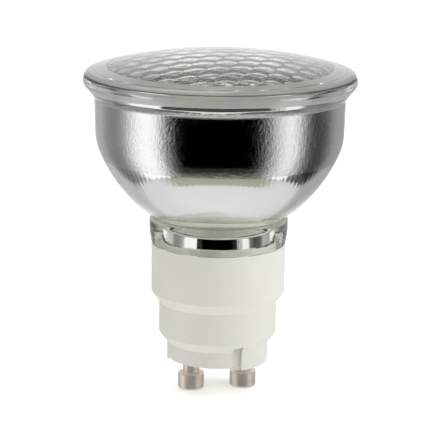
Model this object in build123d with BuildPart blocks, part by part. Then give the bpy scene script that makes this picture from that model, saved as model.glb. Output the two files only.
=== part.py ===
from build123d import *
import math
import os

# Metal halide reflector lamp with a two-pin twist-lock cap, in millimetres.
# +Z runs up the optical axis, the pins lie along X, and the pin ends are at Z = 0.

# Contact pins
pin_spacing = 10.0
pin_head_radius = 2.5
pin_head_height = 3.0
pin_head_round = 0.5
pin_neck_radius = 1.55
pin_neck_height = 3.0
pin_collar_radius = 2.1
pin_collar_height = 0.5
pin_rivet_radius = 2.3
pin_rivet_height = 0.6
pin_bore_radius = 0.55
pin_tip_wall = 3.6

# Ceramic cap, from the foot up
foot_radius = 9.55
foot_height = 2.95
foot_slope = 1.85
middle_radius = 11.1
middle_height = 6.0
middle_slope = 2.05
top_radius = 12.6
top_height = 9.25
plate_thickness = 4.5
cavity_radius = 8.0
socket_radius = 11.0
socket_depth = 7.1
cap_edge_round = 0.35
pin_hole_clearance = 0.05
lug_inner_radius = 7.6
lug_height = 0.65
lug_angle = 75.0
lug_start = -77.0
key_slot_width = 2.0
key_slot_depth = 0.8
key_slot_height = 4.1
key_slot_angle = -77.0

# Pressed glass reflector, from the spigot up
spigot_radius = 10.6
spigot_length = 6.6
neck_foot_radius = 12.6
neck_radius = 13.0
neck_taper = 2.3
neck_height = 4.8
waist_radius = 12.6
waist_height = 0.6
bowl_radius = 22.26
bowl_height = 11.96
bowl_arc_rise = 1.12
shoulder_radius = 23.09
shoulder_height = 3.68
shoulder_arc_rise = 0.18
wall_radius = 23.25
wall_height = 6.66
flange_radius = 25.48
flange_slope = 2.7
flange_edge_height = 1.4
flange_round = 1.4
flange_seat_radius = 25.1
wall_thickness = 2.4
bowl_thickness = 1.1
knee_round = 5.0
bore_round = 3.0
bore_radius = 7.0
mouth_round = 2.0

# Front lens and the bead of adhesive under it
adhesive_thickness = 0.2
adhesive_inset = 0.3
lens_radius = 24.9
lens_side_height = 0.2
lens_edge_height = 0.35
lens_edge_inset = 0.4
lens_edge_rise = 0.1
lens_dome_rise = 3.4
lens_thickness = 2.2
lens_boss_clearance = 0.4
lenslet_pitch = 4.1
lenslet_land = 0.3
lenslet_depth = 0.35
lenslet_field_radius = 19.7

# Quartz outer bulb with its pinch seal
bulb_radius = 5.5
bulb_wall = 1.0
bulb_floor_round = 2.5
bulb_tube_length = 23.0
bulb_throat = 2.5
bulb_floor_depth = 1.0
bulb_tip_radius = 1.1
bulb_tip_height = 1.3
pinch_width = 11.6
pinch_thickness = 3.6
pinch_height = 9.0
pinch_round = 1.0
pinch_lift = 4.7

# Foils and wires
foil_offset = 2.6
foil_width = 2.2
foil_height = 5.4
foil_thickness = 0.08
foil_inset = 1.7
outer_lead_radius = 0.35
outer_lead_bend = 0.9
outer_lead_drop = 1.2
outer_lead_spread = 1.4
inner_lead_radius = 0.3
inner_lead_bend = 0.7
return_wire_offset = 3.8
return_wire_step = 1.6
return_wire_cant = 2.6
return_wire_reach = 3.0
return_wire_overlap = 0.5
jog_height = 1.5

# Ceramic arc tube with its two capillaries
arc_height = 13.0
arc_body_radius = 3.0
arc_body_length = 6.8
arc_body_round = 1.6
arc_chamber_radius = 2.4
arc_chamber_length = 5.8
arc_chamber_round = 1.3
capillary_radius = 1.0
capillary_bore_radius = 0.5
capillary_length = 6.5

# Electrodes, niobium rods and frit seals
arc_gap = 4.0
electrode_radius = 0.2
electrode_coil_radius = 0.42
electrode_coil_length = 1.0
mandrel_radius = 0.42
mandrel_length = 2.6
niobium_radius = 0.38
niobium_length = 2.9
niobium_reach = 1.0
frit_depth = 1.7
frit_bead_radius = 0.9
frit_bead_height = 0.5

# Salt dose, getter and cement
dose_depth = 0.35
dose_clearance = 0.05
getter_width = 1.6
getter_height = 4.0
getter_thickness = 0.4
getter_gap = 1.0
capsule_cement_height = 7.3
cap_cement_height = 6.2

# Levels, worked out from the pin ends up
seat_z = pin_head_height + pin_neck_height + pin_collar_height
plate_top_z = seat_z + plate_thickness
foot_top_z = seat_z + foot_height
middle_z = foot_top_z + foot_slope
middle_top_z = middle_z + middle_height
top_z = middle_top_z + middle_slope
cap_top_z = top_z + top_height
socket_floor_z = cap_top_z - socket_depth
spigot_z = cap_top_z - spigot_length
neck_top_z = cap_top_z + neck_height
waist_z = neck_top_z + waist_height
bowl_top_z = waist_z + bowl_height
shoulder_z = bowl_top_z + shoulder_height
wall_top_z = shoulder_z + wall_height
flange_z = wall_top_z + flange_slope
rim_z = flange_z + flange_edge_height
lens_seat_z = rim_z + adhesive_thickness
lens_side_z = lens_seat_z + lens_side_height
lens_edge_z = lens_side_z + lens_edge_height
pinch_z = plate_top_z + pinch_lift
pinch_top_z = pinch_z + pinch_height
bulb_z = pinch_top_z + bulb_throat
bulb_top_z = bulb_z + bulb_tube_length
bulb_floor_z = bulb_z - bulb_floor_depth
bulb_inner_radius = bulb_radius - bulb_wall
arc_z = bulb_z + arc_height
capillary_end = arc_body_length / 2 + capillary_length
niobium_end = capillary_end + niobium_reach
foil_z = pinch_z + foil_inset
foil_top_z = foil_z + foil_height

os.makedirs("parts", exist_ok=True)


def save(part, name):
    part.label = name
    export_step(part, f"parts/{name}.step")


def arc_centre(start, end, rise):
    # Centre and radius of the arc that bulges to the right of start to end by rise
    chord = end - start
    radius = (chord.length**2 / 4 + rise**2) / (2 * rise)
    left = Vector(-chord.Y, chord.X).normalized()
    return (start + end) * 0.5 + left * (radius - rise), radius


def bent_wire(points, bend, radius):
    # A round wire in the XZ plane, with every corner bent to one radius
    with BuildPart() as wire_part:
        with BuildLine(Plane.XZ) as route:
            FilletPolyline(*points, radius=bend)
        with BuildSketch(Plane(route.line @ 0, z_dir=route.line % 0)):
            Circle(radius)
        sweep()
    return wire_part.part


# Contact pins, each turned in one piece and riveted over inside the cap
for name, side in (("contact_pin_left", -1), ("contact_pin_right", 1)):
    pin_x = side * pin_spacing / 2
    with BuildPart() as pin:
        with BuildSketch(Plane((pin_x, 0, 0), x_dir=(1, 0, 0), z_dir=(0, -1, 0))):
            with BuildLine():
                Polyline(
                    (0, 0),
                    (pin_head_radius, 0),
                    (pin_head_radius, pin_head_height),
                    (pin_neck_radius, pin_head_height),
                    (pin_neck_radius, seat_z - pin_collar_height),
                    (pin_collar_radius, seat_z - pin_collar_height),
                    (pin_collar_radius, seat_z),
                    (pin_neck_radius, seat_z),
                    (pin_neck_radius, plate_top_z),
                    (pin_rivet_radius, plate_top_z),
                    (pin_rivet_radius, plate_top_z + pin_rivet_height),
                    (pin_bore_radius, plate_top_z + pin_rivet_height),
                    (pin_bore_radius, pin_tip_wall),
                    (0, pin_tip_wall),
                    close=True,
                )
            make_face()
        revolve(axis=Axis((pin_x, 0, 0), (0, 0, 1)))
        fillet(pin.edges().group_by(Axis.Z)[0], radius=pin_head_round)
    save(pin.part, name)

# Stepped ceramic cap: socket above, cavity for the leads, plate and two lugs below
with BuildPart() as cap:
    with BuildSketch(Plane.XZ) as cap_profile:
        with BuildLine():
            Polyline(
                (0, seat_z),
                (foot_radius, seat_z),
                (foot_radius, foot_top_z),
                (middle_radius, middle_z),
                (middle_radius, middle_top_z),
                (top_radius, top_z),
                (top_radius, cap_top_z),
                (socket_radius, cap_top_z),
                (socket_radius, socket_floor_z),
                (cavity_radius, socket_floor_z),
                (cavity_radius, plate_top_z),
                (0, plate_top_z),
                close=True,
            )
        make_face()
        steps = cap_profile.vertices().filter_by(lambda corner: foot_top_z <= corner.Y <= top_z)
        fillet(steps.filter_by(lambda corner: corner.X > cavity_radius), radius=cap_edge_round)
    revolve(axis=Axis.Z)
    for turn in (lug_start, lug_start + 180):
        with BuildSketch(Plane.XZ.rotated((0, 0, turn))):
            with BuildLine():
                Polyline(
                    (lug_inner_radius, seat_z),
                    (lug_inner_radius, seat_z - lug_height),
                    (foot_radius, seat_z - lug_height),
                    (foot_radius, seat_z),
                    close=True,
                )
            make_face()
        revolve(axis=Axis.Z, revolution_arc=lug_angle)
    key_slot_reach = foot_radius - key_slot_depth
    with BuildSketch(Plane.XY.offset(seat_z - lug_height)):
        with PolarLocations(0, 2, start_angle=key_slot_angle):
            with Locations((key_slot_reach + foot_radius / 2, 0)):
                Rectangle(foot_radius, key_slot_width)
    extrude(amount=key_slot_height + lug_height, mode=Mode.SUBTRACT)
    with Locations((-pin_spacing / 2, 0, seat_z), (pin_spacing / 2, 0, seat_z)):
        pin_hole_radius = pin_neck_radius + pin_hole_clearance
        Cylinder(
            pin_hole_radius,
            plate_thickness,
            align=(Align.CENTER, Align.CENTER, Align.MIN),
            mode=Mode.SUBTRACT,
        )
save(cap.part, "cap")

# Glass reflector: spigot, clear neck, bowl, straight wall and flange in one pressing
bowl_foot = Vector(waist_radius, waist_z)
bowl_top = Vector(bowl_radius, bowl_top_z)
bowl_centre, bowl_arc_radius = arc_centre(bowl_foot, bowl_top, bowl_arc_rise)
inner_arc_radius = bowl_arc_radius - bowl_thickness
inner_wall_radius = shoulder_radius - wall_thickness
knee_z = bowl_centre.Y - math.sqrt(inner_arc_radius**2 - (bowl_centre.X - inner_wall_radius) ** 2)
bore_top_z = bowl_centre.Y - math.sqrt(inner_arc_radius**2 - (bowl_centre.X - bore_radius) ** 2)
mouth_wall_radius = wall_radius - wall_thickness
with BuildPart() as reflector:
    with BuildSketch(Plane.XZ) as reflector_profile:
        with BuildLine():
            Polyline(
                (bore_radius, spigot_z),
                (spigot_radius, spigot_z),
                (spigot_radius, cap_top_z),
                (neck_foot_radius, cap_top_z),
                (neck_radius, cap_top_z + neck_taper),
                (neck_radius, neck_top_z),
                (waist_radius, waist_z),
            )
            SagittaArc(bowl_foot, bowl_top, -bowl_arc_rise)
            SagittaArc(bowl_top, (shoulder_radius, shoulder_z), -shoulder_arc_rise)
            Polyline((shoulder_radius, shoulder_z), (wall_radius, wall_top_z), (flange_radius, flange_z))
            Polyline(
                (flange_radius, flange_z),
                (flange_seat_radius, rim_z),
                (mouth_wall_radius, rim_z),
                (inner_wall_radius, knee_z),
            )
            RadiusArc((inner_wall_radius, knee_z), (bore_radius, bore_top_z), -inner_arc_radius)
            Line((bore_radius, bore_top_z), (bore_radius, spigot_z))
        make_face()
        corners = reflector_profile.vertices()
        fillet(corners.sort_by_distance((inner_wall_radius, knee_z))[0], radius=knee_round)
        corners = reflector_profile.vertices()
        fillet(corners.sort_by_distance((bore_radius, bore_top_z))[0], radius=bore_round)
        corners = reflector_profile.vertices()
        fillet(corners.sort_by_distance((mouth_wall_radius, rim_z))[0], radius=mouth_round)
        corners = reflector_profile.vertices()
        fillet(corners.sort_by_distance((flange_radius, flange_z))[0], radius=flange_round)
    revolve(axis=Axis.Z)
save(reflector.part, "reflector")

# Adhesive bead on the flange seat, and the domed lens that rests on it
bead_inner_radius = mouth_wall_radius + mouth_round + adhesive_inset
bead_outer_radius = lens_radius - adhesive_inset
with BuildPart() as lens_adhesive:
    with BuildSketch(Plane.XY.offset(rim_z)):
        Circle(bead_outer_radius)
        Circle(bead_inner_radius, mode=Mode.SUBTRACT)
    extrude(amount=adhesive_thickness)
save(lens_adhesive.part, "lens_adhesive")

dome_edge = Vector(lens_radius - lens_edge_inset, lens_edge_z)
dome_top_z = lens_edge_z + lens_dome_rise
dome_arc_radius = (dome_edge.X**2 + lens_dome_rise**2) / (2 * lens_dome_rise)
dome_centre_z = dome_top_z - dome_arc_radius
inner_dome_radius = dome_arc_radius - lens_thickness
boss_radius = mouth_wall_radius - lens_boss_clearance
boss_z = dome_centre_z + math.sqrt(inner_dome_radius**2 - boss_radius**2)
lenslet_radius = (lenslet_pitch - lenslet_land) / 2
lenslet_curve = (lenslet_radius**2 + lenslet_depth**2) / (2 * lenslet_depth)
lenslet_rows = math.ceil(lenslet_field_radius / lenslet_pitch) + 2
lenslet_centres = []
for row in range(-lenslet_rows, lenslet_rows + 1):
    for step in range(-lenslet_rows, lenslet_rows + 1):
        spot = Vector((step + row / 2) * lenslet_pitch, row * lenslet_pitch * math.sqrt(3) / 2)
        if spot.length + lenslet_radius <= lenslet_field_radius:
            ray = Vector(spot.X, spot.Y, math.sqrt(inner_dome_radius**2 - spot.length**2)).normalized()
            reach = inner_dome_radius - lenslet_curve + lenslet_depth
            lenslet_centres.append(ray * reach + Vector(0, 0, dome_centre_z))
with BuildPart() as front_lens:
    with BuildSketch(Plane.XZ):
        with BuildLine():
            Polyline((boss_radius, boss_z), (boss_radius, lens_seat_z), (lens_radius, lens_seat_z))
            Line((lens_radius, lens_seat_z), (lens_radius, lens_side_z))
            SagittaArc((lens_radius, lens_side_z), dome_edge, -lens_edge_rise)
            RadiusArc(dome_edge, (0, dome_top_z), -dome_arc_radius)
            Line((0, dome_top_z), (0, dome_top_z - lens_thickness))
            RadiusArc((0, dome_top_z - lens_thickness), (boss_radius, boss_z), inner_dome_radius)
        make_face()
    revolve(axis=Axis.Z)
    with Locations(*lenslet_centres):
        Sphere(lenslet_curve, mode=Mode.SUBTRACT)
save(front_lens.part, "front_lens")

# Foils in the pinch, with the wires that meet their ends
for name, side in (("foil_left", -1), ("foil_right", 1)):
    with BuildPart() as foil:
        with BuildSketch(Plane.XY.offset(foil_z)):
            with Locations((side * foil_offset, 0)):
                Rectangle(foil_width, foil_thickness)
        extrude(amount=foil_height)
    save(foil.part, name)

outer_leads = []
for name, side in (("outer_lead_left", -1), ("outer_lead_right", 1)):
    bend_z = pinch_z - outer_lead_drop
    route = [
        (side * foil_offset, foil_z),
        (side * foil_offset, bend_z),
        (side * pin_spacing / 2, bend_z - outer_lead_spread),
        (side * pin_spacing / 2, pin_tip_wall),
    ]
    outer_lead = bent_wire(route, outer_lead_bend, outer_lead_radius)
    save(outer_lead, name)
    outer_leads.append(outer_lead)

jog_z = bulb_floor_z + jog_height
short_route = [
    (foil_offset, foil_top_z),
    (foil_offset, jog_z),
    (0, jog_z),
    (0, arc_z - niobium_end),
]
short_lead = bent_wire(short_route, inner_lead_bend, inner_lead_radius)
save(short_lead, "short_inner_lead")

return_top_z = arc_z + niobium_end + inner_lead_radius
return_route = [
    (-foil_offset, foil_top_z),
    (-foil_offset, jog_z),
    (-return_wire_offset, jog_z + return_wire_step),
    (-return_wire_offset, return_top_z - return_wire_cant),
    (-return_wire_reach, return_top_z),
    (return_wire_overlap, return_top_z),
]
return_lead = bent_wire(return_route, inner_lead_bend, inner_lead_radius)
save(return_lead, "long_inner_lead")

# Getter strip, welded to the long lead beside the lower capillary
getter_x = -return_wire_offset + inner_lead_radius
getter_top_z = arc_z - arc_body_length / 2 - getter_gap
with BuildPart() as getter:
    with BuildSketch(Plane.XY.offset(getter_top_z)):
        with Locations((getter_x, 0)):
            Rectangle(getter_thickness, getter_width, align=(Align.MIN, Align.CENTER))
    extrude(amount=-getter_height)
save(getter.part, "getter")

# Quartz outer bulb: the outer form first, which the cement also takes its hole from
with BuildPart() as bulb_form:
    with BuildSketch(Plane.XY.offset(pinch_z)):
        RectangleRounded(pinch_width, pinch_thickness, pinch_round)
    extrude(amount=pinch_height)
    with BuildSketch(Plane.XY.offset(pinch_top_z)):
        RectangleRounded(pinch_width, pinch_thickness, pinch_round)
    with BuildSketch(Plane.XY.offset(bulb_z)):
        Circle(bulb_radius)
    loft()
    with BuildSketch(Plane.XZ):
        with BuildLine():
            Line((0, bulb_z), (bulb_radius, bulb_z))
            Line((bulb_radius, bulb_z), (bulb_radius, bulb_top_z))
            CenterArc((0, bulb_top_z), bulb_radius, 0, 90)
            Line((0, bulb_top_z + bulb_radius), (0, bulb_z))
        make_face()
    revolve(axis=Axis.Z)
    tip_z = bulb_top_z + bulb_radius + bulb_tip_height
    with BuildSketch(Plane.XZ):
        with BuildLine():
            Line((0, bulb_top_z), (bulb_tip_radius, bulb_top_z))
            Line((bulb_tip_radius, bulb_top_z), (bulb_tip_radius, tip_z - bulb_tip_radius))
            CenterArc((0, tip_z - bulb_tip_radius), bulb_tip_radius, 0, 90)
            Line((0, tip_z), (0, bulb_top_z))
        make_face()
    revolve(axis=Axis.Z)

with BuildPart() as outer_bulb:
    add(bulb_form.part)
    with BuildSketch(Plane.XZ):
        with BuildLine():
            Line((0, bulb_floor_z), (bulb_inner_radius - bulb_floor_round, bulb_floor_z))
            RadiusArc(
                (bulb_inner_radius - bulb_floor_round, bulb_floor_z),
                (bulb_inner_radius, bulb_floor_z + bulb_floor_round),
                -bulb_floor_round,
            )
            Line((bulb_inner_radius, bulb_floor_z + bulb_floor_round), (bulb_inner_radius, bulb_top_z))
            CenterArc((0, bulb_top_z), bulb_inner_radius, 0, 90)
            Line((0, bulb_top_z + bulb_inner_radius), (0, bulb_floor_z))
        make_face()
    revolve(axis=Axis.Z, mode=Mode.SUBTRACT)
    with BuildSketch(Plane.XY.offset(foil_z)):
        with Locations((-foil_offset, 0), (foil_offset, 0)):
            Rectangle(foil_width, foil_thickness)
    extrude(amount=foil_height, mode=Mode.SUBTRACT)
    for lead in (*outer_leads, short_lead, return_lead):
        add(lead, mode=Mode.SUBTRACT)
save(outer_bulb.part, "outer_bulb")

# Cement that holds the bulb in the neck, and the ring that holds the neck in the cap
with BuildPart() as bulb_cement:
    with BuildSketch(Plane.XY.offset(spigot_z)):
        Circle(bore_radius)
    extrude(amount=capsule_cement_height)
    add(bulb_form.part, mode=Mode.SUBTRACT)
save(bulb_cement.part, "bulb_cement")

with BuildPart() as cap_cement:
    with BuildSketch(Plane.XY.offset(spigot_z)):
        Circle(socket_radius)
        Circle(spigot_radius, mode=Mode.SUBTRACT)
    extrude(amount=cap_cement_height)
save(cap_cement.part, "cap_cement")

# Ceramic arc tube: a barrel with a capillary at each end, hollow throughout
half_chamber = arc_chamber_length / 2
with BuildPart() as arc_tube:
    with BuildSketch(Plane.XZ) as body_profile:
        with Locations((0, arc_z)):
            Rectangle(arc_body_radius, arc_body_length, align=(Align.MIN, Align.CENTER))
        fillet(body_profile.vertices().group_by(Axis.X)[-1], radius=arc_body_round)
        with Locations((0, arc_z)):
            Rectangle(capillary_radius, 2 * capillary_end, align=(Align.MIN, Align.CENTER))
    revolve(axis=Axis.Z)
    with BuildSketch(Plane.XZ) as chamber_profile:
        with Locations((0, arc_z)):
            Rectangle(arc_chamber_radius, arc_chamber_length, align=(Align.MIN, Align.CENTER))
        fillet(chamber_profile.vertices().group_by(Axis.X)[-1], radius=arc_chamber_round)
        with Locations((0, arc_z)):
            Rectangle(capillary_bore_radius, 2 * capillary_end, align=(Align.MIN, Align.CENTER))
    revolve(axis=Axis.Z, mode=Mode.SUBTRACT)
save(arc_tube.part, "arc_tube")

# Salt dose, lying on the chamber's floor round the lower bore
with BuildPart() as salt_dose:
    with BuildSketch(Plane.XZ) as dose_profile:
        with Locations((0, arc_z)):
            Rectangle(arc_chamber_radius, arc_chamber_length, align=(Align.MIN, Align.CENTER))
        fillet(dose_profile.vertices().group_by(Axis.X)[-1], radius=arc_chamber_round)
        with Locations((capillary_bore_radius + dose_clearance, arc_z - half_chamber)):
            Rectangle(
                arc_chamber_radius,
                dose_depth,
                align=(Align.MIN, Align.MIN),
                mode=Mode.INTERSECT,
            )
    revolve(axis=Axis.Z)
save(salt_dose.part, "salt_dose")

# Electrodes, niobium rods and frit seals, one of each at either end of the arc tube
for end, way in (("lower", -1), ("upper", 1)):
    tip = arc_gap / 2
    rod_start = niobium_end - niobium_length
    coil_end = tip + electrode_coil_length
    mandrel_start = rod_start - mandrel_length
    with BuildPart() as electrode:
        with BuildSketch(Plane.XZ):
            with BuildLine():
                Polyline(
                    (0, arc_z + way * tip),
                    (electrode_coil_radius, arc_z + way * tip),
                    (electrode_coil_radius, arc_z + way * coil_end),
                    (electrode_radius, arc_z + way * coil_end),
                    (electrode_radius, arc_z + way * mandrel_start),
                    (mandrel_radius, arc_z + way * mandrel_start),
                    (mandrel_radius, arc_z + way * rod_start),
                    (0, arc_z + way * rod_start),
                    close=True,
                )
            make_face()
        revolve(axis=Axis.Z)
    save(electrode.part, f"electrode_{end}")

    with BuildPart() as niobium_rod:
        with BuildSketch(Plane.XY.offset(arc_z + way * rod_start)):
            Circle(niobium_radius)
        extrude(amount=way * niobium_length)
    save(niobium_rod.part, f"niobium_rod_{end}")

    with BuildPart() as frit_seal:
        with BuildSketch(Plane.XZ):
            with BuildLine():
                Polyline(
                    (niobium_radius, arc_z + way * (capillary_end - frit_depth)),
                    (capillary_bore_radius, arc_z + way * (capillary_end - frit_depth)),
                    (capillary_bore_radius, arc_z + way * capillary_end),
                    (frit_bead_radius, arc_z + way * capillary_end),
                    (niobium_radius, arc_z + way * (capillary_end + frit_bead_height)),
                    close=True,
                )
            make_face()
        revolve(axis=Axis.Z)
    save(frit_seal.part, f"frit_seal_{end}")
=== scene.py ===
import math
import bpy
import bmesh
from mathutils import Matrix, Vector, noise


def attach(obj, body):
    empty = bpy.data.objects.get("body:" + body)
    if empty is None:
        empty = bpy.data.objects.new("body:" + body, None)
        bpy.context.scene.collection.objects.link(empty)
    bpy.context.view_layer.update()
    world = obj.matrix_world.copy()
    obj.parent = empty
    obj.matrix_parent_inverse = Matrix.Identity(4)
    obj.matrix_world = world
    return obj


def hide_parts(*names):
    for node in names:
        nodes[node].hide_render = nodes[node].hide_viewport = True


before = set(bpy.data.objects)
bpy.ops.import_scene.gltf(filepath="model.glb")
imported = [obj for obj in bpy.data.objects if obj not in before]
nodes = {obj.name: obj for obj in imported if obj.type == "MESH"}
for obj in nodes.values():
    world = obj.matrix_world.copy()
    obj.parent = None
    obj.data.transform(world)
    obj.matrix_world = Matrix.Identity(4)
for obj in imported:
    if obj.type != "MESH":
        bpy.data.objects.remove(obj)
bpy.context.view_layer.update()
mm = 0.001
print("frame loaded,", len(nodes), "CAD pieces")


# lines of a turned outline, as (radius, height) in mm
def spokeEnd(centre, spoke, angle):
    return (
        centre.x + spoke.x * math.cos(angle) - spoke.y * math.sin(angle),
        centre.y + spoke.x * math.sin(angle) + spoke.y * math.cos(angle),
    )


def sweepSpoke(centre, one, two, steps):
    # points round a centre, from one spoke to the other
    turn = one.angle_signed(two)
    return [spokeEnd(centre, one, -turn * step / steps) for step in range(steps + 1)]


def arcCentre(start, end, rise):
    # centre and radius of the arc that bulges to the right of start to end
    chord = end - start
    radius = (chord.length ** 2 / 4 + rise ** 2) / (2 * rise)
    middle = (start + end) / 2
    return middle + Vector((-chord.y, chord.x)).normalized() * (radius - rise), radius


def arcPoints(start, end, rise, steps):
    # points along that arc, without its start
    start, end = Vector(start), Vector(end)
    centre, radius = arcCentre(start, end, rise)
    turn = 2 * math.asin((end - start).length / 2 / radius)
    return [spokeEnd(centre, start - centre, turn * step / steps) for step in range(1, steps + 1)]


def roundCorner(before, corner, after, radius, steps):
    # the round that replaces a corner between two straight runs
    corner = Vector(corner)
    one, two = (Vector(before) - corner).normalized(), (Vector(after) - corner).normalized()
    half = one.angle(two) / 2
    centre = corner + (one + two).normalized() * radius / math.sin(half)
    reach = radius / math.tan(half)
    return sweepSpoke(centre, corner + one * reach - centre, corner + two * reach - centre, steps)


def roundKnee(centre, bowlRadius, foot, mouth, radius, steps):
    # the round that runs out of the bowl's arc and into the straight wall
    up = (Vector(mouth) - Vector(foot)).normalized()
    inward = Vector((-up.y, up.x))
    offset = Vector(foot) + inward * radius - centre
    along = offset.dot(up)
    along = -along - math.sqrt(along ** 2 - offset.length_squared + (bowlRadius - radius) ** 2)
    middle = centre + offset + up * along
    return sweepSpoke(middle, (middle - centre).normalized() * radius, -inward * radius, steps)


def spinOutline(bm, outline, segments, rounds=()):
    # an open outline, its listed corners rounded, turned round the lamp's axis
    roundSteps = 4
    corners = [bm.verts.new((radius * mm, 0, height * mm)) for radius, height in outline]
    for one, two in zip(corners, corners[1:]):
        bm.edges.new((one, two))
    for index, amount in rounds:
        bmesh.ops.bevel(
            bm, geom=[corners[index]], offset=amount * mm, segments=roundSteps,
            profile=0.5, affect="VERTICES", material=-1,
        )
    bmesh.ops.spin(
        bm, geom=bm.verts[:] + bm.edges[:], cent=(0, 0, 0), axis=(0, 0, 1),
        angle=2 * math.pi, steps=segments, use_merge=True,
    )
    bmesh.ops.remove_doubles(bm, verts=bm.verts, dist=1e-7)


def finishPiece(name, bm, finishNames, replaced, sharpAngle):
    # faces keep the index of their finish in finishNames
    bmesh.ops.recalc_face_normals(bm, faces=bm.faces)
    for edge in bm.edges:
        edge.smooth = edge.calc_face_angle(0) < math.radians(sharpAngle)
    for face in bm.faces:
        face.smooth = True
    mesh = bpy.data.meshes.new(name)
    bm.to_mesh(mesh)
    bm.free()
    piece = bpy.data.objects.new(name, mesh)
    bpy.context.scene.collection.objects.link(piece)
    for finish in finishNames:
        mesh.materials.append(materials[finish])
    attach(piece, "root")
    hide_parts(replaced)
    return piece


# shader groups that the finishes share
def makeGroup(name, inputs, outputs):
    group = bpy.data.node_groups.new(name, "ShaderNodeTree")
    sockets = group.interface
    for label, start in inputs:
        sockets.new_socket(label, in_out="INPUT", socket_type="NodeSocketFloat").default_value = start
    for label in outputs:
        sockets.new_socket(label, in_out="OUTPUT", socket_type="NodeSocketFloat")
    return group, group.nodes.new("NodeGroupInput"), group.nodes.new("NodeGroupOutput")


def grainGroup():
    group, ins, outs = makeGroup(
        "fineGrain", [("Scale", 900.0), ("Depth", 0.5)], ["Height", "Mask"],
    )
    coarseDetail, fineDetail, fineness = 5, 3, 4.3
    tree, link = group.nodes, group.links.new
    coord = tree.new("ShaderNodeTexCoord")
    coarse = tree.new("ShaderNodeTexNoise")
    coarse.inputs["Detail"].default_value = coarseDetail
    fine = tree.new("ShaderNodeTexNoise")
    fine.inputs["Detail"].default_value = fineDetail
    finer = tree.new("ShaderNodeMath")
    finer.operation = "MULTIPLY"
    finer.inputs[1].default_value = fineness
    mixed = tree.new("ShaderNodeMath")
    mixed.operation = "MULTIPLY_ADD"
    link(coord.outputs["Object"], coarse.inputs["Vector"])
    link(coord.outputs["Object"], fine.inputs["Vector"])
    link(ins.outputs["Scale"], coarse.inputs["Scale"])
    link(ins.outputs["Scale"], finer.inputs[0])
    link(finer.outputs[0], fine.inputs["Scale"])
    link(fine.outputs["Fac"], mixed.inputs[0])
    link(ins.outputs["Depth"], mixed.inputs[1])
    link(coarse.outputs["Fac"], mixed.inputs[2])
    link(mixed.outputs[0], outs.inputs["Height"])
    link(coarse.outputs["Fac"], outs.inputs["Mask"])
    return group


def blotchGroup():
    group, ins, outs = makeGroup(
        "softBlotches", [("Scale", 90.0), ("Low", 0.4), ("High", 0.65)], ["Mask"],
    )
    cloudDetail = 4
    tree, link = group.nodes, group.links.new
    coord = tree.new("ShaderNodeTexCoord")
    cloud = tree.new("ShaderNodeTexNoise")
    cloud.inputs["Detail"].default_value = cloudDetail
    spread = tree.new("ShaderNodeMapRange")
    link(coord.outputs["Object"], cloud.inputs["Vector"])
    link(ins.outputs["Scale"], cloud.inputs["Scale"])
    link(cloud.outputs["Fac"], spread.inputs["Value"])
    link(ins.outputs["Low"], spread.inputs["From Min"])
    link(ins.outputs["High"], spread.inputs["From Max"])
    link(spread.outputs["Result"], outs.inputs["Mask"])
    return group


fineGrain = grainGroup()
softBlotches = blotchGroup()
print("shader groups built")


def finishMaterial(name, look):
    # one Principled finish: two tints in blotches, roughness that drifts, and a grain bump
    material = bpy.data.materials.new(name)
    material.use_nodes = True
    tree, link = material.node_tree.nodes, material.node_tree.links.new
    shader = tree["Principled BSDF"]
    for socket, value in look.get("sockets", {}).items():
        shader.inputs[socket].default_value = value
    blotches = tree.new("ShaderNodeGroup")
    blotches.node_tree = softBlotches
    blotches.inputs["Scale"].default_value = look["blotchScale"]
    tint = tree.new("ShaderNodeMix")
    tint.data_type = "RGBA"
    tint.inputs["A"].default_value = (*look["tint"], 1)
    tint.inputs["B"].default_value = (*look["otherTint"], 1)
    link(blotches.outputs["Mask"], tint.inputs["Factor"])
    link(tint.outputs["Result"], shader.inputs["Base Color"])
    grain = tree.new("ShaderNodeGroup")
    grain.node_tree = fineGrain
    grain.inputs["Scale"].default_value = look["grainScale"]
    bump = tree.new("ShaderNodeBump")
    bump.inputs["Strength"].default_value = look["grainStrength"]
    bump.inputs["Distance"].default_value = look["grainDepth"] * mm
    link(grain.outputs["Height"], bump.inputs["Height"])
    link(bump.outputs["Normal"], shader.inputs["Normal"])
    rough = tree.new("ShaderNodeMapRange")
    rough.inputs["To Min"].default_value, rough.inputs["To Max"].default_value = look["roughness"]
    link(grain.outputs["Mask"], rough.inputs["Value"])
    link(rough.outputs["Result"], shader.inputs["Roughness"])
    if "soft" in look:
        passSoftLight(tree, link, shader, *look["soft"])
    return material


def passSoftLight(tree, link, shader, kind, colour):
    # towards matt neighbours, glass lets light straight through and the mirror spreads it
    paths = tree.new("ShaderNodeLightPath")
    rays = tree.new("ShaderNodeMath")
    rays.operation = "MAXIMUM"
    rays.inputs[0].default_value = 0
    other = tree.new(kind)
    other.inputs["Color"].default_value = (*colour, 1)
    pick = tree.new("ShaderNodeMixShader")
    if kind == "ShaderNodeBsdfTransparent":
        link(paths.outputs["Is Shadow Ray"], rays.inputs[0])
    link(paths.outputs["Is Diffuse Ray"], rays.inputs[1])
    link(rays.outputs[0], pick.inputs["Fac"])
    link(shader.outputs["BSDF"], pick.inputs[1])
    link(other.outputs["BSDF"], pick.inputs[2])
    link(pick.outputs["Shader"], tree["Material Output"].inputs["Surface"])


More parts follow.
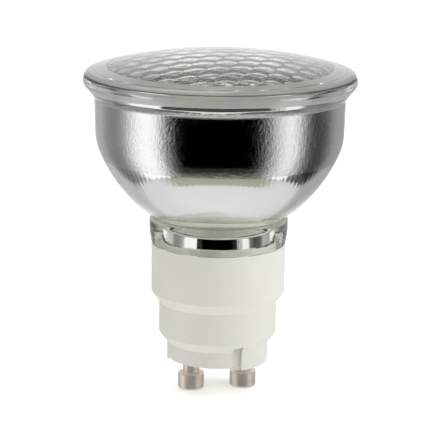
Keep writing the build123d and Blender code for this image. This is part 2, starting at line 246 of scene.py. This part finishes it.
finishes = {
    "reflectorGlass": {
        "tint": (0.95, 0.96, 0.94), "otherTint": (0.97, 0.975, 0.96), "blotchScale": 60,
        "grainScale": 260, "grainStrength": 0.05, "grainDepth": 0.4, "roughness": (0.0, 0.02),
        "soft": ("ShaderNodeBsdfTransparent", (0.94, 0.95, 0.91)),
        "sockets": {"Transmission Weight": 1.0, "IOR": 1.5},
    },
    "lensGlass": {
        "tint": (0.93, 0.95, 0.9), "otherTint": (0.95, 0.96, 0.92), "blotchScale": 60,
        "grainScale": 300, "grainStrength": 0.04, "grainDepth": 0.3, "roughness": (0.0, 0.03),
        "soft": ("ShaderNodeBsdfTransparent", (0.95, 0.96, 0.93)),
        "sockets": {"Transmission Weight": 1.0, "IOR": 1.5},
    },
    "quartz": {
        "tint": (0.98, 0.98, 0.99), "otherTint": (0.95, 0.96, 0.97), "blotchScale": 120,
        "grainScale": 300, "grainStrength": 0.03, "grainDepth": 0.3, "roughness": (0.0, 0.02),
        "soft": ("ShaderNodeBsdfTransparent", (0.97, 0.97, 0.97)),
        "sockets": {"Transmission Weight": 1.0, "IOR": 1.46},
    },
    "mirrorCoat": {
        "tint": (0.97, 0.97, 0.96), "otherTint": (0.94, 0.94, 0.93), "blotchScale": 140,
        "grainScale": 900, "grainStrength": 0.4, "grainDepth": 0.008, "roughness": (0.0, 0.03),
        "soft": ("ShaderNodeBsdfDiffuse", (0.9, 0.9, 0.88)),
        "sockets": {"Metallic": 1.0},
    },
    "mirrorPeel": {
        "tint": (0.97, 0.97, 0.96), "otherTint": (0.94, 0.94, 0.93), "blotchScale": 140,
        "grainScale": 2300, "grainStrength": 1.0, "grainDepth": 0.024, "roughness": (0.0, 0.02),
        "soft": ("ShaderNodeBsdfDiffuse", (0.9, 0.9, 0.88)),
        "sockets": {"Metallic": 1.0},
    },
    "mirrorSeat": {
        "tint": (0.80, 0.80, 0.78), "otherTint": (0.72, 0.72, 0.70), "blotchScale": 140,
        "grainScale": 900, "grainStrength": 0.4, "grainDepth": 0.02, "roughness": (0.34, 0.44),
        "sockets": {"Metallic": 0.65},
    },
    "capCeramic": {
        "tint": (0.72, 0.72, 0.67), "otherTint": (0.69, 0.69, 0.64), "blotchScale": 70,
        "grainScale": 1600, "grainStrength": 0.25, "grainDepth": 0.06, "roughness": (0.5, 0.66),
    },
    # a faint glow stands for the light that reaches the cement through the glass
    "cement": {
        "tint": (0.86, 0.86, 0.80), "otherTint": (0.76, 0.76, 0.70), "blotchScale": 400,
        "grainScale": 1500, "grainStrength": 0.7, "grainDepth": 0.15, "roughness": (0.75, 0.95),
        "sockets": {"Emission Color": (0.9, 0.9, 0.92, 1), "Emission Strength": 0.05},
    },
    "adhesive": {
        "tint": (0.36, 0.36, 0.35), "otherTint": (0.30, 0.30, 0.29), "blotchScale": 150,
        "grainScale": 800, "grainStrength": 0.2, "grainDepth": 0.05, "roughness": (0.3, 0.45),
    },
    "pinNickel": {
        "tint": (0.96, 0.88, 0.79), "otherTint": (0.89, 0.81, 0.72), "blotchScale": 500,
        "grainScale": 1300, "grainStrength": 0.15, "grainDepth": 0.03, "roughness": (0.42, 0.55),
        "sockets": {"Metallic": 0.75},
    },
    "molybdenum": {
        "tint": (0.56, 0.56, 0.58), "otherTint": (0.46, 0.46, 0.48), "blotchScale": 500,
        "grainScale": 2000, "grainStrength": 0.2, "grainDepth": 0.03, "roughness": (0.28, 0.42),
        "sockets": {"Metallic": 1.0},
    },
    "leadWire": {
        "tint": (0.66, 0.65, 0.64), "otherTint": (0.56, 0.55, 0.54), "blotchScale": 500,
        "grainScale": 2000, "grainStrength": 0.2, "grainDepth": 0.03, "roughness": (0.25, 0.4),
        "sockets": {"Metallic": 1.0},
    },
    "getterMetal": {
        "tint": (0.3, 0.3, 0.31), "otherTint": (0.24, 0.24, 0.25), "blotchScale": 900,
        "grainScale": 2600, "grainStrength": 0.5, "grainDepth": 0.08, "roughness": (0.55, 0.8),
    },
    "arcCeramic": {
        "tint": (0.93, 0.92, 0.88), "otherTint": (0.89, 0.87, 0.82), "blotchScale": 200,
        "grainScale": 2200, "grainStrength": 0.12, "grainDepth": 0.03, "roughness": (0.3, 0.42),
        "sockets": {"Subsurface Weight": 0.4, "Subsurface Scale": 0.0006},
    },
    "salt": {
        "tint": (0.82, 0.74, 0.5), "otherTint": (0.7, 0.6, 0.36), "blotchScale": 1800,
        "grainScale": 3000, "grainStrength": 0.8, "grainDepth": 0.12, "roughness": (0.35, 0.6),
    },
    "tungsten": {
        "tint": (0.42, 0.42, 0.43), "otherTint": (0.34, 0.34, 0.35), "blotchScale": 900,
        "grainScale": 3000, "grainStrength": 0.3, "grainDepth": 0.03, "roughness": (0.35, 0.5),
        "sockets": {"Metallic": 1.0},
    },
    "niobium": {
        "tint": (0.5, 0.49, 0.48), "otherTint": (0.42, 0.41, 0.4), "blotchScale": 900,
        "grainScale": 3000, "grainStrength": 0.2, "grainDepth": 0.03, "roughness": (0.3, 0.45),
        "sockets": {"Metallic": 1.0},
    },
    "frit": {
        "tint": (0.86, 0.84, 0.78), "otherTint": (0.78, 0.75, 0.68), "blotchScale": 900,
        "grainScale": 2000, "grainStrength": 0.2, "grainDepth": 0.04, "roughness": (0.12, 0.25),
    },
}
materials = {name: finishMaterial(name, look) for name, look in finishes.items()}
print("finishes built,", len(materials))

nodeFinish = {
    "lens_adhesive": "adhesive",
    "cap": "capCeramic",
    "cap_cement": "cement", "bulb_cement": "cement",
    "contact_pin_left": "pinNickel", "contact_pin_right": "pinNickel",
    "outer_bulb": "quartz",
    "foil_left": "molybdenum", "foil_right": "molybdenum",
    "outer_lead_left": "leadWire", "outer_lead_right": "leadWire",
    "short_inner_lead": "molybdenum", "long_inner_lead": "molybdenum",
    "getter": "getterMetal",
    "arc_tube": "arcCeramic", "salt_dose": "salt",
    "electrode_lower": "tungsten", "electrode_upper": "tungsten",
    "niobium_rod_lower": "niobium", "niobium_rod_upper": "niobium",
    "frit_seal_lower": "frit", "frit_seal_upper": "frit",
}
for node, finish in nodeFinish.items():
    nodes[node].data.materials.clear()
    nodes[node].data.materials.append(materials[finish])
print("CAD pieces dressed,", len(nodeFinish))


# pressed glass reflector, in mm: the outside from the spigot up to the rim, the wall behind it,
# the aluminised inside from coatFoot up to the rim, and the relief pressed into that inside
# the spigot is 0.01 mm oversize, so the cement that wets it shows through the glass
bowl = {
    "bore": 6.99, "spigot": 10.61, "spigotFoot": 21.99, "capTop": 28.59,
    "neckFoot": 12.6, "neck": 13.0, "neckTaper": 2.3, "neckTop": 33.4,
    "waist": 12.6, "waistHeight": 34.0, "neckRounds": (0.3, 0.8, 0.35, 0.3),
    "bowlTop": (22.26, 45.96), "bowlRise": 1.12, "bowlSteps": 28,
    "shoulder": (23.09, 49.64), "shoulderRise": 0.18, "shoulderSteps": 5,
    "wallTop": (23.25, 56.3), "flange": (25.48, 59.0), "rim": (25.1, 60.4),
    "rimRounds": (0.5, 0.66, 0.25),
    "wallThickness": 2.2, "bowlThickness": 1.55,
    "boreRound": 3.0, "kneeRound": 14.0, "mouthRound": 2.4,
    "arcSteps": 46, "arcGap": 0.1, "roundSteps": 14, "kneeSteps": 24, "wallRings": 34,
    "coatFoot": 29.5, "coatEdge": 24.8, "peelBand": (45.5, 57.5), "seatFoot": 58.7,
    "reliefMargin": (2, 0.1), "fluteRise": 8, "fluteEnd": 1.2,
    "flutes": 120, "fluteDepth": 0.007, "peelScale": 1.5, "peelDepth": 0.006,
    "rippleScale": 0.2, "rippleDepth": 0.02, "rippleShift": (7, 3),
    "segments": 480, "sharpAngle": 40,
}


def insideLine(spec):
    # the coated inside, from the bore up to the seat under the lens
    foot, top = Vector((spec["waist"], spec["waistHeight"])), Vector(spec["bowlTop"])
    centre, radius = arcCentre(foot, top, spec["bowlRise"])
    inner = radius - spec["bowlThickness"]
    wall = spec["shoulder"][0] - spec["wallThickness"]
    first = math.asin((spec["bore"] - centre.x) / inner)
    last = math.asin((wall - centre.x) / inner)

    def onArc(angle):
        return (centre.x + inner * math.sin(angle), centre.y - inner * math.cos(angle))

    # a little further along the arc, to give its direction at the bore
    justPast = onArc(first + 0.02)
    boreFoot = (spec["bore"], spec["coatFoot"])
    rim = spec["rim"][1]
    mouth = (spec["wallTop"][0] - spec["wallThickness"], rim)
    seatEdge = (spec["coatEdge"], rim)
    boreTurn = roundCorner(boreFoot, onArc(first), justPast, spec["boreRound"], spec["roundSteps"])
    kneeTurn = roundKnee(centre, inner, onArc(last), mouth, spec["kneeRound"], spec["kneeSteps"])
    mouthTurn = roundCorner(onArc(last), mouth, seatEdge, spec["mouthRound"], spec["roundSteps"])
    line = [boreFoot] + boreTurn
    for step in range(spec["arcSteps"] + 1):
        point = onArc(first + (last - first) * step / spec["arcSteps"])
        if boreTurn[-1][0] + spec["arcGap"] < point[0] < kneeTurn[0][0] - spec["arcGap"]:
            line.append(point)
    line += kneeTurn
    low, high = Vector(kneeTurn[-1]), Vector(mouthTurn[0])
    rings = spec["wallRings"]
    line += [tuple(low.lerp(high, ring / rings)) for ring in range(1, rings)]
    return line + mouthTurn + [seatEdge]


def pressRelief(verts, spec):
    # fine flutes in the upper bowl, orange peel on the wall
    low = spec["waistHeight"] + spec["reliefMargin"][0]
    high = spec["rim"][1] - spec["mouthRound"] - spec["reliefMargin"][1]
    shiftX, shiftY = spec["rippleShift"]
    for vert in verts:
        x, y, z = vert.co / mm
        if not low < z < high:
            continue
        out = Vector((x, y, 0)).normalized()
        inBowl = min(1, max(0, (spec["bowlTop"][1] - z) / spec["fluteEnd"]))
        fade = min(1, (z - low) / spec["fluteRise"]) ** 2
        wave = math.cos(spec["flutes"] * math.atan2(y, x))
        flute = inBowl * fade * spec["fluteDepth"] * wave
        peel = noise.noise(Vector((x, y, z)) * spec["peelScale"]) * spec["peelDepth"]
        ripple = noise.noise(Vector((x + shiftX, y + shiftY, z)) * spec["rippleScale"])
        ripple *= spec["rippleDepth"]
        vert.co -= out * (flute + (1 - inBowl) * (peel + ripple)) * mm


def buildReflector(spec):
    bm = bmesh.new()
    inside = insideLine(spec)
    outline = [
        inside[0],
        (spec["bore"], spec["spigotFoot"]),
        (spec["spigot"], spec["spigotFoot"]),
        (spec["spigot"], spec["capTop"]),
    ]
    rounds = list(enumerate(spec["neckRounds"], len(outline)))
    outline += [
        (spec["neckFoot"], spec["capTop"]),
        (spec["neck"], spec["capTop"] + spec["neckTaper"]),
        (spec["neck"], spec["neckTop"]),
        (spec["waist"], spec["waistHeight"]),
    ]
    outline += arcPoints(outline[-1], spec["bowlTop"], spec["bowlRise"], spec["bowlSteps"])
    outline += arcPoints(outline[-1], spec["shoulder"], spec["shoulderRise"], spec["shoulderSteps"])
    rounds += list(enumerate(spec["rimRounds"], len(outline)))
    outline += [spec["wallTop"], spec["flange"], spec["rim"], inside[-1]]
    spinOutline(bm, outline, spec["segments"], rounds)
    coated = bmesh.new()
    spinOutline(coated, inside, spec["segments"])
    pressRelief(coated.verts, spec)
    # plain mirror, orange peel on the wall, and satin on the seat under the lens
    finishNames = ("reflectorGlass", "mirrorCoat", "mirrorPeel", "mirrorSeat")
    for face in coated.faces:
        height = face.calc_center_median().z / mm
        peeled = spec["peelBand"][0] < height < spec["peelBand"][1]
        finish = "mirrorSeat" if height > spec["seatFoot"] else "mirrorPeel" if peeled else "mirrorCoat"
        face.material_index = finishNames.index(finish)
    # the coated inside closes the glass
    coat = bpy.data.meshes.new("coat")
    coated.to_mesh(coat)
    coated.free()
    bm.from_mesh(coat)
    bpy.data.meshes.remove(coat)
    bmesh.ops.remove_doubles(bm, verts=bm.verts, dist=1e-6)
    return finishPiece(
        "reflectorGlass", bm, finishNames, "reflector", spec["sharpAngle"],
    )


reflectorGlass = buildReflector(bowl)
print("reflector turned and coated,", len(reflectorGlass.data.polygons), "faces")

# domed front lens, in mm, with lenslets pressed into its underside
lens = {
    "radius": 24.9, "seat": 60.59, "sideHeight": 0.21, "edgeHeight": 0.35, "edgeInset": 0.4,
    "domeRise": 3.4, "thickness": 2.2, "boss": 20.45, "seam": (22.95, 23.15),
    "edgeRound": 0.3, "sideRound": 0.12, "bossRound": 0.2,
    "pitch": 4.1, "land": 0.3, "depth": 0.6, "field": 20.3,
    "segments": 384, "domeSteps": 30, "rings": 120, "sharpAngle": 60,
}


def lensletSpots(spec):
    # a triangular grid, with the spots whose lenslets reach into the field
    rows = math.ceil(spec["field"] / spec["pitch"]) + 2
    reach = (spec["pitch"] - spec["land"]) / 2
    rowHeight = math.sqrt(3) / 2
    spots = []
    for row in range(-rows, rows + 1):
        for step in range(-rows, rows + 1):
            spot = Vector(((step + row / 2) * spec["pitch"], row * spec["pitch"] * rowHeight))
            if spot.length - reach <= spec["field"]:
                spots.append(spot)
    return spots


def buildLens(spec):
    bm = bmesh.new()
    sideTop = spec["seat"] + spec["sideHeight"]
    edge = (spec["radius"] - spec["edgeInset"], sideTop + spec["edgeHeight"])
    top = edge[1] + spec["domeRise"]
    domeRadius = (edge[0] ** 2 + spec["domeRise"] ** 2) / (2 * spec["domeRise"])
    centre = top - domeRadius
    inner = domeRadius - spec["thickness"]

    def onDome(radius, angle):
        return (radius * math.sin(angle), centre + radius * math.cos(angle))

    domeTurn, steps = math.asin(edge[0] / domeRadius), spec["domeSteps"]
    outline = [(0, top)]
    outline += [onDome(domeRadius, domeTurn * step / steps) for step in range(1, steps + 1)]
    rounds = [(len(outline) - 1, spec["edgeRound"]), (len(outline), spec["sideRound"])]
    outline += [(spec["radius"], sideTop), (spec["radius"], spec["seat"])]
    outline += [(radius, spec["seat"]) for radius in (*reversed(spec["seam"]), spec["boss"])]
    rounds.append((len(outline) - 1, spec["bossRound"]))
    bossTurn, rings = math.asin(spec["boss"] / inner), spec["rings"]
    outline += [onDome(inner, bossTurn * (1 - ring / rings)) for ring in range(rings + 1)]
    spinOutline(bm, outline, spec["segments"], rounds)
    # each point of the inner dome rises into the hollow of its nearest lenslet
    spots = lensletSpots(spec)
    cell = spec["pitch"] / math.sqrt(3)
    curve = (cell ** 2 + spec["depth"] ** 2) / (2 * spec["depth"])
    for vert in bm.verts:
        x, y, z = vert.co / mm
        away = math.hypot(x, y)
        onInnerDome = abs(z - centre - math.sqrt(inner ** 2 - away ** 2)) <= 0.01
        if away > spec["field"] or not onInnerDome:
            continue
        near = min((spot.x - x) ** 2 + (spot.y - y) ** 2 for spot in spots)
        if near < cell ** 2:
            vert.co.z += (math.sqrt(curve ** 2 - near) - curve + spec["depth"]) * mm
    # the adhesive wets the flat ring, all but a narrow seam
    finishNames = ("lensGlass", "adhesive")
    for face in bm.faces:
        middle = face.calc_center_median().to_2d().length / mm
        inSeam = spec["seam"][0] < middle < spec["seam"][1]
        onSeat = all(abs(vert.co.z - spec["seat"] * mm) < 1e-7 for vert in face.verts)
        if onSeat and not inSeam:
            face.material_index = finishNames.index("adhesive")
    return finishPiece("lensGlass", bm, finishNames, "front_lens", spec["sharpAngle"])


lensGlass = buildLens(lens)
print("front lens pressed,", len(lensGlass.data.polygons), "faces")

# floor, wide enough for every view, in metres
ground = {"size": 6.0, "tint": (0.93, 0.93, 0.93, 1), "roughness": 0.8, "glow": 0.3}


def buildFloor(spec):
    bm = bmesh.new()
    bmesh.ops.create_grid(bm, x_segments=1, y_segments=1, size=spec["size"] / 2)
    mesh = bpy.data.meshes.new("floor")
    bm.to_mesh(mesh)
    bm.free()
    floor = bpy.data.objects.new("floor", mesh)
    bpy.context.scene.collection.objects.link(floor)
    material = bpy.data.materials.new("paleFloor")
    material.use_nodes = True
    sockets = material.node_tree.nodes["Principled BSDF"].inputs
    sockets["Base Color"].default_value = spec["tint"]
    sockets["Roughness"].default_value = spec["roughness"]
    sockets["Emission Color"].default_value = (1, 1, 1, 1)
    sockets["Emission Strength"].default_value = spec["glow"]
    mesh.materials.append(material)
    floor.visible_glossy = False
    floor.visible_transmission = False


buildFloor(ground)
print("floor laid")

# camera where the photograph was taken from: angles in degrees, distance and aim in mm
view = {
    "azimuth": -10.0, "elevation": 13.68, "roll": 0.7, "distance": 348.0, "aim": 32.69,
    "lens": 151.77, "sensor": 36, "shift": 0.003, "clip": (0.01, 20),
}


def spherePoint(heading, rise):
    # a unit vector, its heading turned from the front towards +x
    return Vector((
        math.sin(heading) * math.cos(rise),
        -math.cos(heading) * math.cos(rise),
        math.sin(rise),
    ))


azimuth = math.radians(view["azimuth"])
aimPoint = Vector((0, 0, view["aim"] * mm))
back = spherePoint(azimuth, math.radians(view["elevation"]))
camera = bpy.data.objects.new("camera", bpy.data.cameras.new("camera"))
bpy.context.scene.collection.objects.link(camera)
camera.location = aimPoint + back * view["distance"] * mm
camera.rotation_euler = (-back).to_track_quat("-Z", "Y").to_euler()
camera.rotation_euler.rotate_axis("Z", math.radians(view["roll"]))
camera.data.lens = view["lens"]
camera.data.sensor_width = view["sensor"]
camera.data.shift_x = view["shift"]
camera.data.clip_start, camera.data.clip_end = view["clip"]
bpy.context.scene.camera = camera
print("camera set")

# studio: a pale tent with dark screens in it, as (degrees, brightness or colour) stops
# headings are counted from the camera's side of the lamp, heights from the horizon
studio = {
    # the ring of screens and how high it reaches
    "around": [
        (-180, 1.0), (-172, 1.0), (-160, 0.55), (-140, 0.5), (-128, 0.16), (-112, 0.2),
        (-98, 0.4), (-90, 1.05), (-58, 1.05), (-56, 0.0), (48, 0.0), (50, 0.6), (52, 0.05),
        (55, 0.8), (57, 0.1), (60, 1.0), (62, 0.3), (65, 1.0), (80, 1.0), (86, 0.2),
        (100, 0.03), (120, 0.03), (134, 0.4), (160, 0.42), (172, 1.0), (180, 1.0),
    ],
    "band": [(-90, 0.0), (-43, 0.0), (-40, 1.0), (24, 1.0), (30, 0.0), (90, 0.0)],
    # the tent below and above the ring, in front and towards the sides
    "upDown": [
        (-90, (0.76, 0.76, 0.79)), (-60, (0.74, 0.74, 0.77)), (-56, (0.40, 0.41, 0.33)),
        (-30, (0.34, 0.36, 0.28)), (0, (0.6, 0.6, 0.58)), (30, (0.86, 0.86, 0.84)),
        (90, (1.0, 1.0, 0.98)),
    ],
    "sideUpDown": [
        (-90, (0.80, 0.80, 0.82)), (-46, (0.70, 0.70, 0.71)), (-36, (0.42, 0.43, 0.38)),
        (-24, (0.13, 0.15, 0.13)), (0, (0.5, 0.5, 0.49)), (20, (0.52, 0.52, 0.51)),
        (36, (0.5, 0.5, 0.49)), (48, (0.85, 0.85, 0.83)), (90, (0.9, 0.9, 0.88)),
    ],
    "sides": [(-180, 1.0), (-80, 1.0), (-58, 0.0), (58, 0.0), (80, 1.0), (180, 1.0)],
    # soft boxes overhead and how high they hang
    "boxes": [
        (-180, 2.6), (-125, 2.6), (-118, 1.3), (-45, 1.3), (-25, 0.8), (30, 0.8),
        (45, 1.5), (110, 1.5), (118, 0.3), (165, 0.3), (172, 2.6), (180, 2.6),
    ],
    "boxBand": [(-90, 0.0), (46, 0.0), (52, 1.0), (78, 1.0), (84, 0.0), (90, 0.0)],
}


def addRamp(tree, stops, low, high):
    ramp = tree.new("ShaderNodeValToRGB")
    ramp.color_ramp.interpolation = "LINEAR"
    places = ramp.color_ramp.elements
    while len(places) < len(stops):
        places.new(0.5)
    for place, (degrees, value) in zip(places, stops):
        place.position = (degrees - low) / (high - low)
        place.color = (*value, 1) if isinstance(value, tuple) else (value, value, value, 1)
    return ramp


def buildWorld(spec):
    world = bpy.data.worlds.new("studio")
    bpy.context.scene.world = world
    world.use_nodes = True
    tree, link = world.node_tree.nodes, world.node_tree.links.new
    coord = tree.new("ShaderNodeTexCoord")
    turned = tree.new("ShaderNodeMapping")
    turned.inputs["Rotation"].default_value = (0, 0, -azimuth)
    split = tree.new("ShaderNodeSeparateXYZ")
    flip = tree.new("ShaderNodeMath")
    flip.operation = "MULTIPLY"
    flip.inputs[1].default_value = -1
    heading = tree.new("ShaderNodeMath")
    heading.operation = "ARCTAN2"
    height = tree.new("ShaderNodeMath")
    height.operation = "ARCSINE"
    link(coord.outputs["Generated"], turned.inputs["Vector"])
    link(turned.outputs["Vector"], split.inputs["Vector"])
    link(split.outputs["Y"], flip.inputs[0])
    link(split.outputs["X"], heading.inputs[0])
    link(flip.outputs[0], heading.inputs[1])
    link(split.outputs["Z"], height.inputs[0])
    # each ramp runs over the whole range of its angle
    ramps = {}
    for angle, limit, names in (
        (heading, 180, ("around", "sides", "boxes")),
        (height, 90, ("band", "upDown", "sideUpDown", "boxBand")),
    ):
        unit = tree.new("ShaderNodeMapRange")
        unit.inputs["From Min"].default_value = -math.radians(limit)
        unit.inputs["From Max"].default_value = math.radians(limit)
        link(angle.outputs[0], unit.inputs["Value"])
        for name in names:
            ramps[name] = addRamp(tree, spec[name], -limit, limit)
            link(unit.outputs["Result"], ramps[name].inputs["Fac"])

    def mixColours(mask, one, two):
        mix = tree.new("ShaderNodeMix")
        mix.data_type = "RGBA"
        link(mask, mix.inputs["Factor"])
        link(one, mix.inputs["A"])
        if two:
            link(two, mix.inputs["B"])
        else:
            mix.inputs["B"].default_value = (1, 1, 1, 1)
        return mix.outputs["Result"]

    colours = {name: ramp.outputs["Color"] for name, ramp in ramps.items()}
    walls = mixColours(colours["sides"], colours["upDown"], colours["sideUpDown"])
    tent = mixColours(colours["band"], walls, colours["around"])
    topped = mixColours(colours["boxBand"], tent, colours["boxes"])
    # seen straight from the camera, the studio is white
    paths = tree.new("ShaderNodeLightPath")
    seen = mixColours(paths.outputs["Is Camera Ray"], topped, None)
    link(seen, tree["Background"].inputs["Color"])


buildWorld(studio)
bpy.context.scene.view_settings.view_transform = "Standard"

# soft lights, kept out of reflections: heading and rise in degrees, metres, watts
lights = {
    "keyLight": {"from": (68, 25), "distance": 0.8, "size": 0.5, "power": 2.4},
    "topLight": {"from": (180, 70), "distance": 0.9, "size": 0.8, "power": 0.3},
}
for name, spec in lights.items():
    data = bpy.data.lights.new(name, "AREA")
    data.shape, data.size, data.energy = "DISK", spec["size"], spec["power"]
    light = bpy.data.objects.new(name, data)
    bpy.context.scene.collection.objects.link(light)
    away = spherePoint(*(math.radians(value) for value in spec["from"]))
    light.location = aimPoint + away * spec["distance"]
    light.rotation_euler = (-away).to_track_quat("-Z", "Y").to_euler()
    light.visible_glossy = False
    light.visible_transmission = False
print("studio lit")
